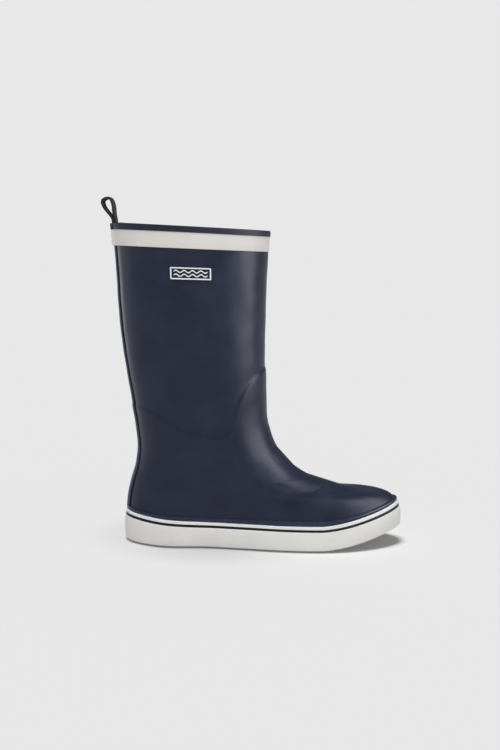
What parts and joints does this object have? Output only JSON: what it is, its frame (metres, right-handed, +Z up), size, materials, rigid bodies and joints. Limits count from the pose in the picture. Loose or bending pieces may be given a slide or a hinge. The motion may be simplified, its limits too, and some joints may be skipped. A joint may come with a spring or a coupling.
{
  "type": "deck boot",
  "caption": "Mid-calf rubber sailing boot for the right foot, with a two-colour collar, a webbing pull loop, a foxed white sole and a loose footbed.",
  "frame": {"origin": "on the ground under the sole, at mid-length of the sole and on its long axis", "axes": "+X to the toe, +Y to the inner side of the foot, +Z up"},
  "size_m": [0.3039, 0.1072, 0.3514],
  "materials": {
    "tread_rubber": "matt, light grey non-marking",
    "white_rubber": "satin off-white",
    "dark_rubber": "satin",
    "stripe_rubber": "satin white",
    "bead_rubber": "satin navy",
    "filler_board": "pressed fibre",
    "shank_steel": "plain",
    "insole_board": "fibre board",
    "footbed_foam": "closed-cell foam",
    "footbed_cover": "knitted",
    "navy_rubber": "satin navy natural rubber",
    "reinforcement": "rubberised canvas",
    "stiffener": "stiff compound",
    "lining": "knitted textile",
    "collar_band": "satin cream",
    "collar_binding": "satin navy",
    "webbing": "woven black",
    "thread": "polyester thread",
    "badge_rubber": "satin navy",
    "badge_print": "raised pale print"
  },
  "bodies": {
    "boot": {"outsole_tread": "tread_rubber", "sidewall_foxing": "white_rubber", "foxing_pinstripe": "dark_rubber", "foxing_white_stripe": "stripe_rubber", "foxing_bead": "bead_rubber", "midsole_filler": "filler_board", "shank": "shank_steel", "insole_board": "insole_board", "upper_skin": "navy_rubber", "foot_reinforcement": "reinforcement", "toe_puff": "stiffener", "heel_counter": "stiffener", "lining": "lining", "backstay_bead": "navy_rubber", "top_band": "collar_band", "rim_binding": "collar_binding", "pull_loop_tail": "webbing", "collar_stitch": "thread", "badge_base": "badge_rubber", "badge_border": "badge_print", "badge_wave_upper": "badge_print", "badge_wave_lower": "badge_print"},
    "webbing_loop": {"pull_loop": "webbing"},
    "loose_footbed": {"footbed": "footbed_foam", "footbed_cover": "footbed_cover"}
  },
  "joints": [
    {"name": "pull_loop_swing", "type": "hinge", "parent": "boot", "child": "webbing_loop", "pos_m": [-0.1479, 0, 0.3273], "axis": [0, 1, 0], "range_deg": [-40, 55], "stiffness_Nm_per_rad": 0.01},
    {"name": "footbed_lift", "type": "hinge", "parent": "boot", "child": "loose_footbed", "pos_m": [0.129, 0, 0.0285], "axis": [0, 1, 0], "range_deg": [0, 6]}
  ]
}
